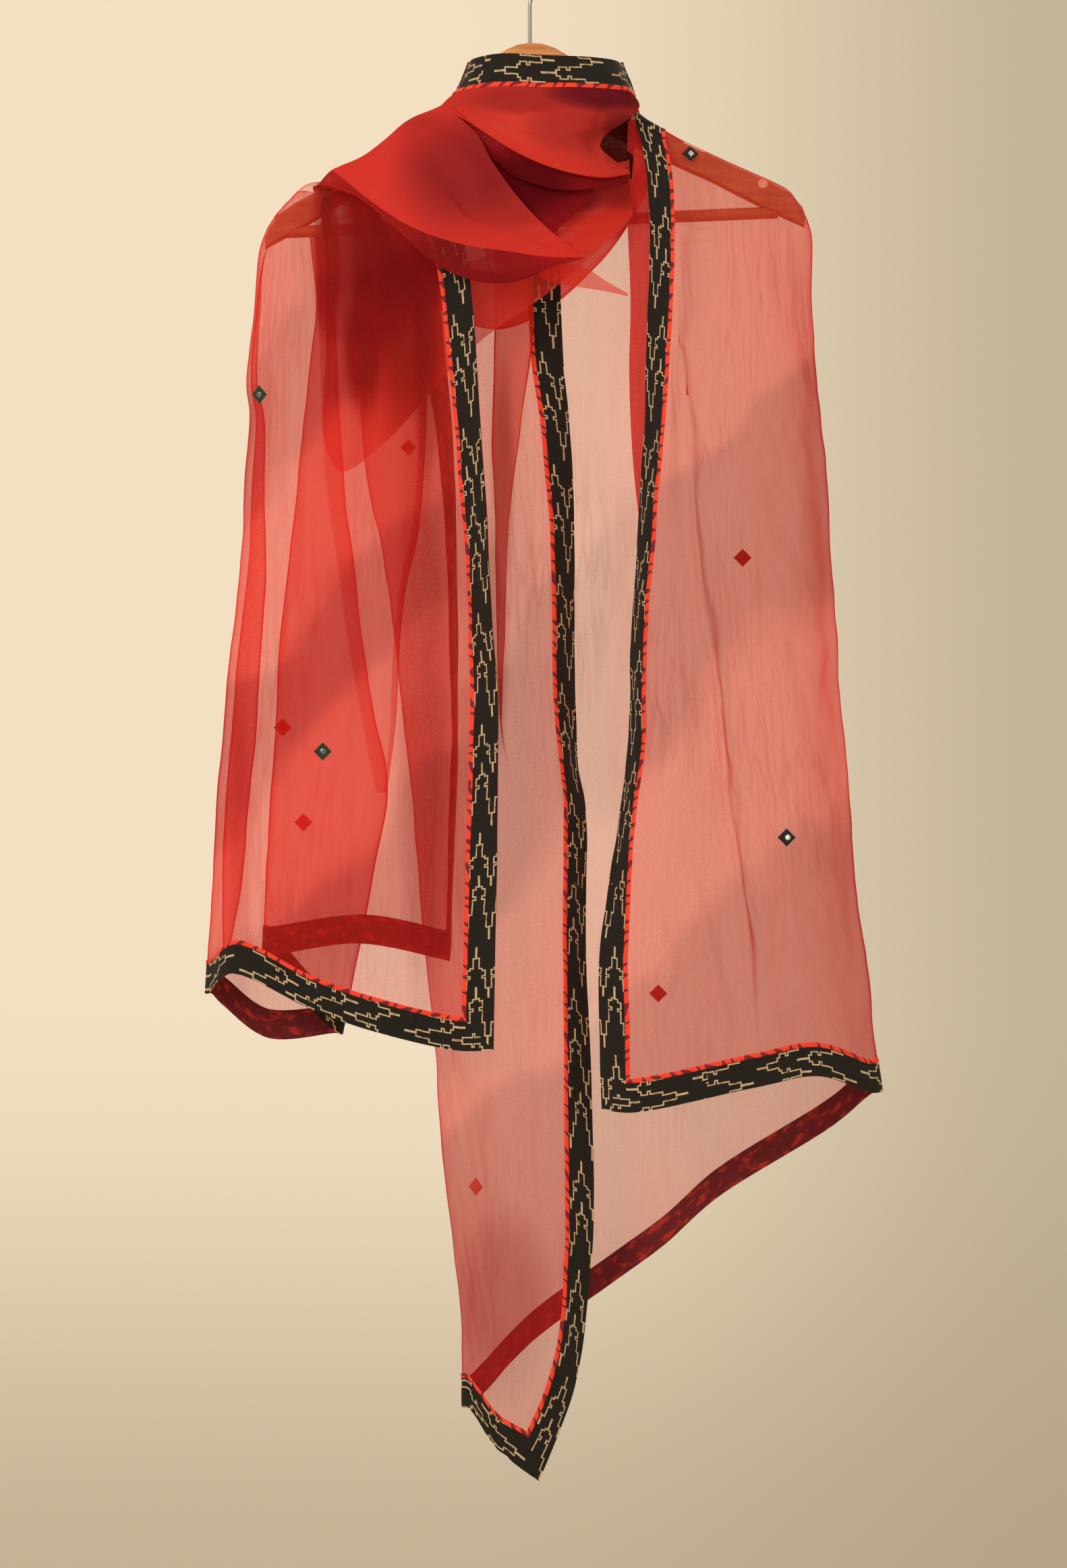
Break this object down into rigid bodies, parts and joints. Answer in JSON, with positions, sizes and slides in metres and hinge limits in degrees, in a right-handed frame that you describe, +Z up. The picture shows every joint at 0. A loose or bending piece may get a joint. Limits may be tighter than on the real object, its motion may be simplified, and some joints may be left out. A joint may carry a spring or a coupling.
{
  "type": "dupatta stole on a hanger",
  "caption": "Sheer dupatta stole with figured dark borders, wound once round a wooden hanger so that it forms a cowl and falls in long panels on both sides.",
  "frame": {"origin": "inside top of the hook, where a rail holds the hanger", "axes": "+Z up, -Y is the front, +X to the right of someone facing the front"},
  "size_m": [0.5525, 0.148, 1.2661],
  "materials": {
    "organza": "sheer plain weave",
    "ikat_border": "matt cotton with a cream figure",
    "border_facing": "matt cotton",
    "piping": "matt cotton",
    "mirror_patch": "matt cotton round a small mirror",
    "wood": "clear satin varnish",
    "hook_wire": "polished"
  },
  "bodies": {
    "root": {"border_collar": "ikat_border", "border_edge_a": "ikat_border", "border_edge_a2": "ikat_border", "border_edge_b": "ikat_border", "border_edge_b2": "ikat_border", "border_hem2_front": "ikat_border", "border_hem2_inner": "ikat_border", "border_hem2_pleat": "ikat_border", "border_hem2_side": "ikat_border", "border_hem_back": "ikat_border", "border_hem_left": "ikat_border", "border_hem_right": "ikat_border", "border_neck_inner": "ikat_border", "border_neck_outer": "ikat_border", "end1_back": "organza", "end1_left_front": "organza", "end1_right_front": "organza", "end2_front": "organza", "end2_inner": "organza", "end2_pleat": "organza", "end2_side": "organza", "facing_collar": "border_facing", "facing_edge_a": "border_facing", "facing_edge_a2": "border_facing", "facing_edge_b": "border_facing", "facing_edge_b2": "border_facing", "facing_hem2_front": "border_facing", "facing_hem2_pleat": "border_facing", "facing_hem2_side": "border_facing", "facing_hem_back": "border_facing", "facing_hem_left": "border_facing", "facing_hem_right": "border_facing", "facing_neck_outer": "border_facing", "hanger_arms": "wood", "hanger_bar": "wood", "hanger_hook": "hook_wire", "patch_left_edge": "mirror_patch", "patch_left_front": "mirror_patch", "patch_left_side": "mirror_patch", "patch_right_hem": "mirror_patch", "patch_right_lower": "mirror_patch", "patch_right_upper": "mirror_patch", "patch_shoulder": "mirror_patch", "patch_strip": "mirror_patch", "piping_collar": "piping", "piping_edge_a": "piping", "piping_edge_a2": "piping", "piping_edge_b": "piping", "piping_hem2_front": "piping", "piping_hem_left": "piping", "piping_hem_right": "piping", "piping_neck_outer": "piping", "wrap_cowl": "organza", "wrap_cowl_fold": "organza", "wrap_inner_swag": "organza", "wrap_neck_fold": "organza", "wrap_neck_inner": "organza", "wrap_neck_outer": "organza", "wrap_swag": "organza", "wrap_under_swag": "organza"}
  },
  "joints": []
}
